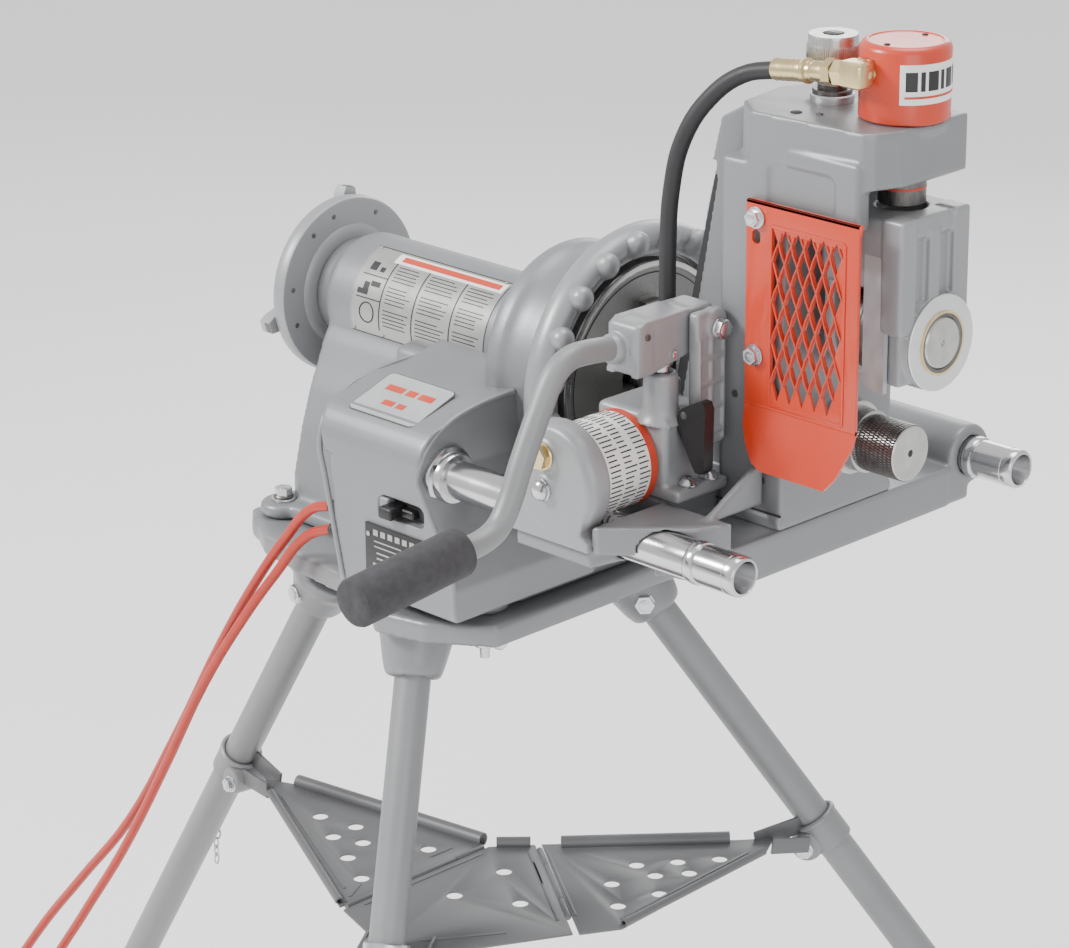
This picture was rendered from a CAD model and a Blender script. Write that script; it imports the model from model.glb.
import math
import random
import bpy
import bmesh
from mathutils import Matrix, Vector


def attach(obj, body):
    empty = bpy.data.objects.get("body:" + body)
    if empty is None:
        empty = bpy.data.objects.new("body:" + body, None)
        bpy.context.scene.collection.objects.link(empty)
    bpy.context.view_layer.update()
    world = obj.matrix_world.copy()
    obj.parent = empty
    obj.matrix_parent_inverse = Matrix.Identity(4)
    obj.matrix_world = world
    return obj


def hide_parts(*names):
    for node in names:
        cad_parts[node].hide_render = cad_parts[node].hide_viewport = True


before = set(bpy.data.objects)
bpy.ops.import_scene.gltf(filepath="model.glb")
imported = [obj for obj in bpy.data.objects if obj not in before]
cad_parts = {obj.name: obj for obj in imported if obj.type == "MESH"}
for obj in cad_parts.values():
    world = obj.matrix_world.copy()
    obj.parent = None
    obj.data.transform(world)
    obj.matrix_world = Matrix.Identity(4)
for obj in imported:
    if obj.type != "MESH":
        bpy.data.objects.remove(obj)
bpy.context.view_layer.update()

# Shapes are written in millimetres about the spindle axis at the drive roll's
# face (+X towards the groover, -Y the operator's side), then moved to the row frame.
SPINDLE_H = 890
OFF = Vector((520, 45, SPINDLE_H))
FLOOR = -SPINDLE_H
MM = 0.001
X, Y, Z = (1, 0, 0), (0, 1, 0), (0, 0, 1)
O = (0, 0, 0)
rnd = random.Random(7)


def W(x, y, z):
    return (Vector((x, y, z)) + OFF) * MM


def placed(name, data):
    """A new object holding data, linked to the scene."""
    o = bpy.data.objects.new(name, data)
    bpy.context.scene.collection.objects.link(o)
    return o


# ---------------------------------------------------------------- materials

def material(name, color, metallic=0.0, rough=0.5, vary=0.06, vary_scale=9.0,
             rough_vary=0.06, bump=0.15, bump_scale=900.0, lumps=0.0, lump_scale=60.0,
             coat=0.0, wear=0.0, wear_color=(0.7, 0.7, 0.7), streak=None):
    """Painted, metal or rubber surface; color and roughness vary over a noise."""
    m = bpy.data.materials.new(name)
    m.use_nodes = True
    nt = m.node_tree
    surface = nt.nodes["Principled BSDF"]

    def node(kind, links=(), **values):
        """Add a node; values are its inputs by name, links are (input, socket) pairs."""
        n = nt.nodes.new("ShaderNode" + kind)
        if kind == "Mix":
            n.data_type = "RGBA"
        for key, value in values.items():
            n.inputs[key.replace("_", " ")].default_value = value
        for key, socket in links:
            nt.links.new(socket, n.inputs[key])
        return n.outputs

    place = node("TexCoord")["Object"]
    big = node("TexNoise", [("Vector", place)], Scale=vary_scale, Detail=6.0)["Fac"]
    if streak:
        along = node("Mapping", [("Vector", place)], Scale=streak)["Vector"]
        big = node("TexNoise", [("Vector", along)], Scale=1.0, Detail=3.0)["Fac"]
    mid = {"From_Min": 0.3, "From_Max": 0.7}
    share = node("MapRange", [("Value", big)], **mid)["Result"]
    col = node("Mix", [("Factor", share)], A=tuple(c * (1 - vary) for c in color) + (1,),
               B=tuple(min(c * (1 + vary), 1) for c in color) + (1,))["Result"]
    if wear:
        edge = node("MapRange", [("Value", node("NewGeometry")["Pointiness"])],
                    From_Min=0.53, From_Max=0.62, To_Max=wear)["Result"]
        col = node("Mix", [("Factor", edge), ("A", col)], B=tuple(wear_color) + (1,))["Result"]
    rubbed = node("MapRange", [("Value", big)], To_Min=max(rough - rough_vary, 0.03),
                  To_Max=min(rough + rough_vary, 1.0), **mid)["Result"]
    fine = node("TexNoise", [("Vector", place)], Scale=bump_scale, Detail=2.0)["Fac"]
    normal = node("Bump", [("Height", fine)], Strength=bump, Distance=0.0004)["Normal"]
    if lumps:
        coarse = node("TexNoise", [("Vector", place)], Scale=lump_scale)["Fac"]
        normal = node("Bump", [("Height", coarse), ("Normal", normal)], Strength=lumps,
                      Distance=0.002)["Normal"]
    for key, value in (("Metallic", metallic), ("Specular IOR Level", 0.5)):
        surface.inputs[key].default_value = value
    if coat:
        surface.inputs["Coat Weight"].default_value = coat
        surface.inputs["Coat Roughness"].default_value = 0.12
    for key, socket in (("Base Color", col), ("Roughness", rubbed), ("Normal", normal)):
        nt.links.new(socket, surface.inputs[key])
    return m


CAST = material("cast_paint", (0.235, 0.24, 0.25), 0.35, 0.42, 0.05, 7, 0.05, 0.25, 700,
                lumps=0.10, lump_scale=45, wear=0.35, wear_color=(0.62, 0.63, 0.64))
CAST_LIGHT = material("cast_paint_light", (0.285, 0.29, 0.30), 0.30, 0.40, 0.05, 9, 0.05, 0.22,
                      800, lumps=0.08, lump_scale=60, wear=0.3, wear_color=(0.7, 0.7, 0.7))
TUBE = material("tube_paint", (0.235, 0.24, 0.245), 0.30, 0.45, 0.06, 11, 0.06, 0.22, 900,
                lumps=0.05, lump_scale=30)
SHEET = material("sheet_paint", (0.135, 0.138, 0.142), 0.25, 0.48, 0.08, 8, 0.06, 0.22, 900,
                 lumps=0.12, lump_scale=16)
ORANGE = material("orange_paint", (0.56, 0.040, 0.012), 0.0, 0.34, 0.06, 12, 0.05, 0.18, 600,
                  lumps=0.05, lump_scale=40, coat=0.25)
STEEL = material("machined_steel", (0.50, 0.495, 0.48), 1.0, 0.30, 0.12, 9, 0.08, 0.10, 1500,
                 streak=(900, 60, 60))
DARK = material("dark_steel", (0.16, 0.155, 0.15), 0.9, 0.38, 0.25, 14, 0.10, 0.20, 900,
                streak=(700, 90, 90))
CHROME = material("chrome_plate", (0.60, 0.60, 0.61), 1.0, 0.17, 0.03, 20, 0.04, 0.05, 1200)
ZINC = material("zinc_bolt", (0.62, 0.63, 0.65), 1.0, 0.26, 0.08, 60, 0.08, 0.12, 1500)
BRASS = material("clean_brass", (0.70, 0.56, 0.30), 1.0, 0.27, 0.08, 40, 0.07, 0.10, 1400)
ALU = material("turned_aluminium", (0.70, 0.71, 0.72), 0.9, 0.34, 0.06, 30, 0.06, 0.08, 1300)
RUBBER = material("black_rubber", (0.018, 0.018, 0.02), 0.0, 0.55, 0.2, 50, 0.08, 0.35, 1100)
PLASTIC = material("black_plastic", (0.008, 0.008, 0.009), 0.0, 0.42, 0.2, 40, 0.06, 0.15, 900)
FOAM = material("dark_foam", (0.045, 0.043, 0.048), 0.0, 0.88, 0.25, 120, 0.05, 0.9, 520,
                lumps=0.25, lump_scale=140)
CORD = material("red_cord_jacket", (0.45, 0.030, 0.014), 0.0, 0.40, 0.08, 60, 0.05, 0.15, 700)
WHITE = material("printed_white", (0.82, 0.82, 0.80), 0.0, 0.42, 0.03, 40, 0.04, 0.06, 900)
SILVER = material("printed_silver", (0.36, 0.36, 0.35), 0.45, 0.36, 0.05, 60, 0.05, 0.06, 900)
INK = material("black_ink", (0.015, 0.015, 0.016), 0.0, 0.45, 0.15, 60, 0.05, 0.05, 900)
RED_INK = material("red_ink", (0.55, 0.05, 0.02), 0.0, 0.45, 0.1, 60, 0.05, 0.05, 900)
FACE = material("ground_steel_face", (0.27, 0.27, 0.265), 0.85, 0.42, 0.12, 20, 0.06, 0.25, 700,
                streak=(60, 500, 500))
BADGE = material("badge_silver", (0.50, 0.51, 0.52), 0.4, 0.35, 0.04, 30, 0.05, 0.05, 900)
HOLLOW = material("dark_inside", (0.03, 0.03, 0.032), 0.1, 0.7, 0.2, 30, 0.05, 0.3, 400)


# ---------------------------------------------------------------- mesh tools

class Shape:
    """Closed primitives gathered in one mesh; each may have its own material."""

    def __init__(self, *mats):
        self.bm = bmesh.new()
        self.mats = list(mats)

    def _merge(self, bm, bevel=0.0, seg=2, mat=0, matrix=None, flat=False):
        if bevel:
            edges = [e for e in bm.edges if len(e.link_faces) == 2
                     and e.calc_face_angle(0) > math.radians(30)]
            bmesh.ops.bevel(bm, geom=edges, offset=bevel, segments=seg, profile=0.6,
                            affect="EDGES", clamp_overlap=True)
        if matrix is not None:
            bmesh.ops.transform(bm, matrix=matrix, verts=bm.verts)
        bmesh.ops.recalc_face_normals(bm, faces=bm.faces)
        for f in bm.faces:
            f.material_index = mat
            f.smooth = not flat
        me = bpy.data.meshes.new("part")
        bm.to_mesh(me)
        bm.free()
        self.bm.from_mesh(me)
        bpy.data.meshes.remove(me)
        return self

    def box(self, a, b, bevel=0.0, seg=2, mat=0, matrix=None):
        bm = bmesh.new()
        bmesh.ops.create_cube(bm, size=1)
        a, b = Vector(a), Vector(b)
        d = b - a
        for v in bm.verts:
            v.co = Vector(((v.co.x + 0.5) * d.x + a.x, (v.co.y + 0.5) * d.y + a.y,
                           (v.co.z + 0.5) * d.z + a.z))
        return self._merge(bm, bevel, seg, mat, matrix)

    def prism(self, pts, lo, hi, axis="z", bevel=0.0, seg=2, mat=0, matrix=None):
        put = {"x": lambda p, h: (h, p[0], p[1]), "y": lambda p, h: (p[0], h, p[1]),
               "z": lambda p, h: (p[0], p[1], h)}[axis]
        bm = bmesh.new()
        low = [bm.verts.new(put(p, lo)) for p in pts]
        top = [bm.verts.new(put(p, hi)) for p in pts]
        bm.faces.new(low)
        bm.faces.new(list(reversed(top)))
        k = len(pts)
        for i in range(k):
            bm.faces.new((low[i], low[(i + 1) % k], top[(i + 1) % k], top[i]))
        return self._merge(bm, bevel, seg, mat, matrix)

    def lathe(self, profile, origin=(0, 0, 0), axis=(1, 0, 0), seg=64, mat=0, ring=False,
              arc=None, start=0.0):
        """Revolve (distance along the axis, radius) points; ring closes the profile."""
        axis = Vector(axis).normalized()
        q = Vector((0, 0, 1)).rotation_difference(axis).to_matrix()
        if axis == Vector((1, 0, 0)):
            q = Matrix((Z, X, Y))
        o = Vector(origin)
        bm = bmesh.new()
        full = arc is None
        steps = seg if full else seg + 1
        rows = []
        for s, r in profile:
            if r < 1e-6:
                rows.append([bm.verts.new(o + q @ Vector((0, 0, s)))])
                continue
            row = []
            for i in range(steps):
                t = start + (2 * math.pi * i / seg if full else arc * i / seg)
                row.append(bm.verts.new(o + q @ Vector((r * math.cos(t), r * math.sin(t), s))))
            rows.append(row)
        pairs = list(zip(rows, rows[1:]))
        if ring:
            pairs.append((rows[-1], rows[0]))
        for ra, rb in pairs:
            for i in range(seg):
                j = (i + 1) % len(ra) if full else i + 1
                k = (i + 1) % len(rb) if full else i + 1
                if len(ra) == 1 and len(rb) == 1:
                    continue
                if len(ra) == 1:
                    bm.faces.new((ra[0], rb[i], rb[k]))
                elif len(rb) == 1:
                    bm.faces.new((ra[i], ra[j], rb[0]))
                else:
                    bm.faces.new((ra[i], ra[j], rb[k], rb[i]))
        if not full and ring:
            bm.faces.new([r[0] for r in rows])
            bm.faces.new([r[-1] for r in reversed(rows)])
        return self._merge(bm, mat=mat)

    def cyl(self, p0, p1, r, bevel=1.0, seg=48, mat=0, r1=None):
        p0, p1 = Vector(p0), Vector(p1)
        h = (p1 - p0).length
        r1 = r if r1 is None else r1
        b = min(bevel, h / 3, r / 2)
        c = b * 0.3
        prof = [(0, 0), (0, r - b), (c, r - c), (b, r), (h - b, r1), (h - c, r1 - c),
                (h, r1 - b), (h, 0)] if b > 0 else [(0, 0), (0, r), (h, r1), (h, 0)]
        return self.lathe(prof, p0, p1 - p0, seg, mat)

    def tube(self, p0, p1, r, ri, bevel=0.8, seg=48, mat=0):
        p0, p1 = Vector(p0), Vector(p1)
        h = (p1 - p0).length
        b = min(bevel, (r - ri) / 3, h / 3)
        return self.lathe([(0, ri + b), (0, r - b), (b, r), (h - b, r), (h, r - b), (h, ri + b),
                           (h - b, ri), (b, ri)], p0, p1 - p0, seg, mat, ring=True)

    def ball(self, c, r, mat=0, seg=24):
        bm = bmesh.new()
        bmesh.ops.create_uvsphere(bm, u_segments=seg, v_segments=seg // 2, radius=r)
        return self._merge(bm, mat=mat, matrix=Matrix.Translation(Vector(c)))

    def hexagon(self, c, d, af, h, bevel=0.8, mat=0, turn=0.0):
        """Bolt head or nut on face centre c, growing along d."""
        d = Vector(d).normalized()
        q = Vector((0, 0, 1)).rotation_difference(d).to_matrix().to_4x4()
        r = af / 2 / math.cos(math.pi / 6)
        pts = [(r * math.cos(math.pi / 3 * i + turn), r * math.sin(math.pi / 3 * i + turn))
               for i in range(6)]
        return self.prism(pts, 0, h, "z", bevel, 2, mat, Matrix.Translation(Vector(c)) @ q)

    def bolt(self, c, d, af, h, mat=0, washer=0.0):
        c, d = Vector(c), Vector(d).normalized()
        if washer:
            self.cyl(c, c + d * 1.8, washer, 0.5, 32, mat)
            c = c + d * 1.8
        self.hexagon(c, d, af, h, 0.9, mat, rnd.random())
        return self.cyl(c + d * (h - 0.6), c + d * (h + 0.5), af * 0.36, 0.4, 24, mat)

    def sweep(self, pts, r, seg=16, mat=0):
        """Round bar along points; r is one radius or one for each point."""
        pts = [Vector(p) for p in pts]
        bm = bmesh.new()
        rows = []
        t0 = (pts[1] - pts[0]).normalized()
        u = t0.orthogonal().normalized()
        for i, p in enumerate(pts):
            t = (pts[min(i + 1, len(pts) - 1)] - pts[max(i - 1, 0)]).normalized()
            u = (u - t * u.dot(t)).normalized()
            v = t.cross(u)
            rr = r[i] if isinstance(r, (list, tuple)) else r
            rows.append([bm.verts.new(p + (u * math.cos(2 * math.pi * k / seg)
                                          + v * math.sin(2 * math.pi * k / seg)) * rr)
                         for k in range(seg)])
        for ra, rb in zip(rows, rows[1:]):
            for k in range(seg):
                bm.faces.new((ra[k], ra[(k + 1) % seg], rb[(k + 1) % seg], rb[k]))
        bm.faces.new(list(reversed(rows[0])))
        bm.faces.new(rows[-1])
        return self._merge(bm, mat=mat)

    def turned(self, matrix):
        bmesh.ops.transform(self.bm, matrix=matrix, verts=self.bm.verts)
        return self

    def join(self, other):
        me = bpy.data.meshes.new("part")
        other.bm.to_mesh(me)
        other.bm.free()
        self.bm.from_mesh(me)
        bpy.data.meshes.remove(me)
        return self

    def mesh(self, name):
        me = bpy.data.meshes.new(name)
        bmesh.ops.transform(self.bm, verts=self.bm.verts,
                            matrix=Matrix.Scale(MM, 4) @ Matrix.Translation(OFF))
        self.bm.to_mesh(me)
        self.bm.free()
        for m in self.mats:
            me.materials.append(m)
        return me

    def make(self, name, body="machine", nodes=(), sharp=32, slot=None):
        return finish_piece(placed(name, self.mesh(name)), body, nodes, sharp)


def finish_piece(o, body, nodes=(), sharp=32):
    if o.type == "MESH" and sharp:
        o.data.set_sharp_from_angle(angle=math.radians(sharp))
    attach(o, body)
    if nodes:
        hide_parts(*nodes)
    return o


def baked(o, name, kind, **settings):
    """Add one modifier and apply it to the object's mesh."""
    md = o.modifiers.new(name, kind)
    for key, value in settings.items():
        setattr(md, key, value)
    dg = bpy.context.evaluated_depsgraph_get()
    me = bpy.data.meshes.new_from_object(o.evaluated_get(dg))
    old = o.data
    o.modifiers.clear()
    o.data = me
    bpy.data.meshes.remove(old)
    return o


def fused(o, voxel):
    return baked(o, "fuse", "REMESH", mode="VOXEL", voxel_size=voxel * MM)


def cut_by(o, cuts):
    c = placed(o.name + "_cut", cuts.mesh(o.name + "_cut"))
    baked(o, "cut", "BOOLEAN", operation="DIFFERENCE", solver="EXACT", use_self=True, object=c)
    bpy.data.objects.remove(c)


def cast(name, adds, cuts=None, mat=CAST, body="machine", nodes=(), voxel=2.0, rounds=5):
    """A casting: closed shapes fused, cut and softened the way foundry patterns are."""
    o = fused(placed(name, adds.mesh(name)), voxel)
    if cuts is not None:
        cut_by(o, cuts)
        fused(o, voxel)
    baked(o, "soft", "SMOOTH", factor=0.5, iterations=rounds)
    for p in o.data.polygons:
        p.use_smooth = True
    o.data.materials.clear()
    o.data.materials.append(mat)
    return finish_piece(o, body, nodes, 0)


def paint(node, mat):
    o = bpy.data.objects[node]
    o.data.materials.clear()
    o.data.materials.append(mat)
    for p in o.data.polygons:
        p.material_index = 0


def rot_about(p, axis, deg):
    m = Matrix.Translation(Vector(p))
    return m @ Matrix.Rotation(math.radians(deg), 4, Vector(axis)) @ m.inverted()


def smooth_path(pts, k=6):
    pts = [Vector(p) for p in pts]
    out = []
    n = len(pts)
    for i in range(n - 1):
        a, b, c, d = pts[max(i - 1, 0)], pts[i], pts[i + 1], pts[min(i + 2, n - 1)]
        for j in range(k):
            t = j / k
            out.append(0.5 * (2 * b + (c - a) * t + (2 * a - 5 * b + 4 * c - d) * t * t
                              + (3 * b - a - 3 * c + d) * t ** 3))
    out.append(pts[-1])
    return out


def arc_pts(cx, cy, r, a0, a1, n=10):
    return [(cx + r * math.cos(math.radians(a0 + (a1 - a0) * i / n)),
             cy + r * math.sin(math.radians(a0 + (a1 - a0) * i / n))) for i in range(n + 1)]


# ---------------------------------------------------------------- camera and light

cam_data = bpy.data.cameras.new("camera")
cam = placed("camera", cam_data)
bpy.context.scene.camera = cam
cam_data.sensor_width = 36.0
cam_data.lens = 126.30
cam_data.clip_end = 50
az, el, roll = math.radians(44.751), math.radians(19.891), math.radians(-0.391)
fwd = Vector((-math.cos(az) * math.cos(el), math.sin(az) * math.cos(el), -math.sin(el)))
right = Vector((math.sin(az), math.cos(az), 0))
up = right.cross(fwd)
right, up = (right * math.cos(roll) + up * math.sin(roll),
             up * math.cos(roll) - right * math.sin(roll))
cam.matrix_world = Matrix.Translation(W(1880.05, -2307.55, 1054.96)) @ Matrix(
    (right, up, -fwd)).transposed().to_4x4()


def area(name, loc, target, size, power):
    d = bpy.data.lights.new(name, "AREA")
    d.shape = "DISK"
    d.size = size
    d.energy = power
    o = placed(name, d)
    o.location = loc
    o.rotation_euler = (Vector(target) - Vector(loc)).to_track_quat("-Z", "Y").to_euler()


area("key", (-1.6, -2.6, 3.2), (0, 0, 0.8), 1.1, 175)
area("fill", (3.0, -1.6, 1.6), (0, 0, 0.9), 2.0, 22)
area("top", (0.3, 0.6, 3.6), (0, 0, 0.8), 1.8, 45)
area("back", (-1.5, 3.0, 2.0), (0, 0, 0.9), 1.6, 30)
world = bpy.data.worlds.new("studio")
bpy.context.scene.world = world
world.use_nodes = True
world.node_tree.nodes["Background"].inputs["Color"].default_value = (1, 1, 1, 1)
world.node_tree.nodes["Background"].inputs["Strength"].default_value = 1.05

floor_mesh = bpy.data.meshes.new("floor")
floor_mesh.from_pydata([(-12, -12, 0), (12, -12, 0), (12, 12, 0), (-12, 12, 0)], [],
                       [(0, 1, 2, 3)])
floor = placed("floor", floor_mesh)
floor_mesh.materials.append(material("pale_floor", (0.97, 0.97, 0.97), 0, 0.8, 0.01, 2, 0.02,
                                     0.02, 200))


# ---------------------------------------------------------------- cords

def cord_curve(name, pts, d, mat, nodes):
    cu = bpy.data.curves.new(name, "CURVE")
    cu.dimensions = "3D"
    cu.bevel_depth = d / 2 * MM
    cu.bevel_resolution = 4
    cu.resolution_u = 5
    sp = cu.splines.new("BEZIER")
    sp.bezier_points.add(len(pts) - 1)
    for q, p in zip(sp.bezier_points, pts):
        q.co = W(*p)
        q.handle_left_type = q.handle_right_type = "AUTO"
    cu.materials.append(mat)
    cu.use_fill_caps = True
    return finish_piece(placed(name, cu), "machine", nodes, 0)


def coil_pts(cx, cy, r_out, r_in, turns, d, a0, sign, n=16):
    """Turns wound inwards on the floor, then outwards on top of them."""
    out = []
    steps = int(turns * n)
    half = turns / 2
    for i in range(1, steps + 1):
        t = i / n
        a = math.radians(a0) + sign * 2 * math.pi * t
        if t < half:
            r = r_out + (r_in - r_out) * t / half
        else:
            r = r_in + (r_out - r_in) * (t - half) / (turns - half)
        lift = min(max((t - half + 0.25) / 0.5, 0), 1)
        z = FLOOR + d / 2 + 0.2 + lift * (d + 0.1)
        out.append((cx + r * math.cos(a), cy + r * math.sin(a), z))
    return out


MAINS = [(-518, -190, -130), (-545, -191, -140), (-580, -194, -178), (-616, -198, -226),
         (-669, -200, -304), (-740, -200, -418), (-823, -200, -540), (-908, -200, -634),
         (-985, -202, -722), (-1030, -210, -790), (-1048, -228, -845), (-1048, -262, -876),
         (-1043, -300, -884), (-1040, -345, -885)]
FOOT = [(-518, -190, -152), (-548, -194, -166), (-585, -203, -212), (-622, -210, -262),
        (-680, -214, -345), (-742, -216, -450), (-815, -216, -565), (-885, -218, -662),
        (-940, -224, -745), (-962, -236, -815), (-955, -258, -862), (-930, -286, -882),
        (-890, -312, -885), (-840, -335, -885), (-790, -344, -885)]
CORD_D = 9.6
HOSE_D = 15


mains_pts = MAINS + coil_pts(-978, -345, 62, 42, 4.25, CORD_D, 180, 1)
mains_pts += [(-966, -409.5, -873.5), (-952, -411, -873)]
foot_pts = FOOT + coil_pts(-790, -402, 58, 47, 4.0, CORD_D, 90, -1)
foot_pts += [(-760, -342, -875), (-735, -341, -873), (-722, -341, -873)]
mains = cord_curve("mains_lead", mains_pts, CORD_D, CORD, ("mains_cord", "mains_coil"))
foot = cord_curve("foot_lead", foot_pts, CORD_D, CORD, ("foot_cord", "foot_coil"))
HOSE = [(-200, -84, 30), (-201, -84, 90), (-203, -82, 150), (-203, -78, 205),
        (-194, -73, 251), (-174, -63, 287), (-148, -53, 309), (-108, -49, 320)]
hose = cord_curve("hydraulic_hose", HOSE, HOSE_D, RUBBER, ("hose",))


# ---------------------------------------------------------------- more mesh tools

def carved(name, adds, cuts, body, nodes, bevel):
    """Crisp pieces: closed shapes, cut, with a small bevel on the edges."""
    o = placed(name, adds.mesh(name))
    cut_by(o, cuts)
    baked(o, "edge", "BEVEL", width=bevel * MM, segments=2, limit_method="ANGLE",
          angle_limit=math.radians(40))
    for f in o.data.polygons:
        f.use_smooth = True
    return finish_piece(o, body, nodes)


def bar(shape, a, b, side, w, t, bevel=0.8, mat=0):
    """Flat bar from a to b, w wide along side and t thick."""
    a, b, side = Vector(a), Vector(b), Vector(side).normalized()
    d = (b - a).normalized()
    side = (side - d * side.dot(d)).normalized()
    n = d.cross(side)
    m = Matrix((d, side, n)).transposed().to_4x4()
    return shape.box((0, -w / 2, -t / 2), ((b - a).length, w / 2, t / 2), bevel, 2, mat,
                     Matrix.Translation(a) @ m)


def band(shape, x0, x1, r0, r1, a0, a1, mat=0, seg=None):
    """Curved strip on a cylinder about the spindle, between two angles in degrees."""
    seg = seg or max(2, int(abs(a1 - a0) / 3))
    return shape.lathe([(x0, r0), (x1, r0), (x1, r1), (x0, r1)], O, X, seg, mat, True,
                       math.radians(a1 - a0), math.radians(a0))


# a leg's pivot point, its direction in plan and its splay from the vertical, in degrees
LEFT_LEG = ((-603, -127, -250), 170.9, 35.6)
RIGHT_LEG = ((-375, 74, -250), 42.1, 35.5)
FRONT_LEG = ((-417, -184, -250), -57, 27.9)
LEGS = (LEFT_LEG, RIGHT_LEG, FRONT_LEG)
SIDE_LEGS = (("left", LEFT_LEG, "left_leg"), ("right", RIGHT_LEG, "right_leg"))
LUGS = [(-358, -153), (-358, 153), (-668, -118), (-668, 118)]
RAIL_Y, RAIL_Z = 181, -67
TRAY = -492     # underside of the tray's sheets
DROP = 242      # from the leg pivots down to the collars
SLIDE_Z = 104   # axis of the groove roll
RAM_X = -17     # axis of the hydraulic cylinder


def leg_matrix(top, az, splay):
    return (Matrix.Translation(Vector(top)) @ Matrix.Rotation(math.radians(az), 4, "Z")
            @ Matrix.Rotation(math.radians(-splay), 4, "Y"))


# ---------------------------------------------------------------- stand

def stand_top():
    s = Shape(CAST)
    s.prism([(-704, -128), (-640, -168), (-560, -180), (-470, -192), (-425, -226),
             (-372, -214), (-318, -176), (-322, 176), (-400, 182), (-640, 150), (-704, 132)],
            -217, -196, "z", 5, 3)
    for x, y in LUGS:
        s.cyl((x, y, -218), (x, y, -195), 31, 5)
    for leg, wide in zip(LEGS, (38, 34, 36)):
        m = leg_matrix(*leg)
        boss = Shape(CAST).lathe([(-20, 0), (-20, 23), (-17, 26), (-6, 29), (18, wide - 2),
                                  (30, wide + 4), (42, wide + 6), (42, 0)], (0, 0, 0),
                                 (0, 0, 1), 48)
        s.join(boss.turned(m))
    cuts = Shape(CAST)
    cuts.prism([(-560, -110), (-450, -130), (-440, 20), (-470, 115), (-610, 105), (-560, 0)],
               -240, -150, "z")
    cuts.box((-800, -300, -195.2), (-200, 300, -100))
    for leg in LEGS:
        tube = Shape(CAST).cyl((0, 0, -60), (0, 0, 2), 18.5, 0)
        cuts.join(tube.turned(leg_matrix(*leg)))
    cast("stand_casting", s, cuts, CAST, nodes=("stand_top",), voxel=2.6, rounds=5)


def hold_down():
    s = Shape(ZINC, DARK)
    for x, y in LUGS:
        s.lathe([(0, 5.5), (0, 11.5), (1.8, 12), (2.4, 11), (2.4, 5.5)], (x, y, -181),
                (0, 0, 1), 32, 0, True)
        s.lathe([(0, 5), (0, 9.6), (1.6, 9.6), (2.6, 8.8), (2.6, 5)], (x, y, -178.5),
                (0, 0, 1), 32, 1, True)
        s.bolt((x, y, -176), Z, 15, 7)
        s.cyl((x, y, -243), (x, y, -215), 4.7, 0.8, 24)
        s.cyl((x, y, -232), (x, y, -218), 10, 2, 32)
        wings = rot_about((x, y, -225), Z, 25 + 40 * (y > 0))
        for k in (-1, 1):
            wing = Shape(ZINC).lathe([(-2.2, 0), (-2.2, 6), (-1.2, 8), (1.2, 8), (2.2, 6),
                                      (2.2, 0)], (x + k * 14, y, -226), Y, 28)
            s.join(wing.turned(wings))
    s.cyl((-472, -164, -224), (-472, -164, -204), 5, 1, 24, 1)
    s.hexagon((-472, -164, -238), Z, 12, 14, 0.8, 0)
    s.make("hold_down_bolts", nodes=("hold_down",), slot="steel")


def legs():
    for name, leg, body in SIDE_LEGS + (("front", FRONT_LEG, "machine"),):
        long = (leg[0][2] - FLOOR) / math.cos(math.radians(leg[2]))
        s = Shape(TUBE)
        s.lathe([(6, 0), (6, 15.5), (4.5, 16.7), (-long + 46, 16.7), (-long + 44, 16.2),
                 (-long + 42, 16.7), (-long + 16, 16.7), (-long + 14.6, 15.5),
                 (-long + 14.6, 0)], O, Z, 56)
        s.turned(leg_matrix(*leg))
        s.make("leg_tube_" + name, body, ("leg_" + name,), slot="tube_paint")
    s = Shape(ZINC)
    for leg in (LEFT_LEG, RIGHT_LEG):
        p = Shape(ZINC)
        for k in (1, -1):
            p.bolt((0, 27 * k, 0), (0, k, 0), 16, 6, washer=9.5)
        p.cyl((0, -27, 0), (0, 27, 0), 4.9, 0.5, 24)
        s.join(p.turned(leg_matrix(*leg)))
    clip = Shape(ZINC)
    z = -DROP / math.cos(math.radians(FRONT_LEG[2]))
    clip.tube((0, 0, z - 15), (0, 0, z + 15), 21.2, 16.9, 1.2)
    clip.bolt((20.5, 0, z), X, 11, 5, washer=8)
    s.join(clip.turned(leg_matrix(*FRONT_LEG)))
    a = math.radians(-57 + 90)
    d = Vector((math.cos(a), math.sin(a), 0))
    c = Vector((-344, -288, TRAY))
    s.cyl(c - d * 35.5, c + d * 35.5, 3.9, 0.8, 24)
    s.make("stand_pivots", nodes=("stand_pins",), slot="steel")


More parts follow.
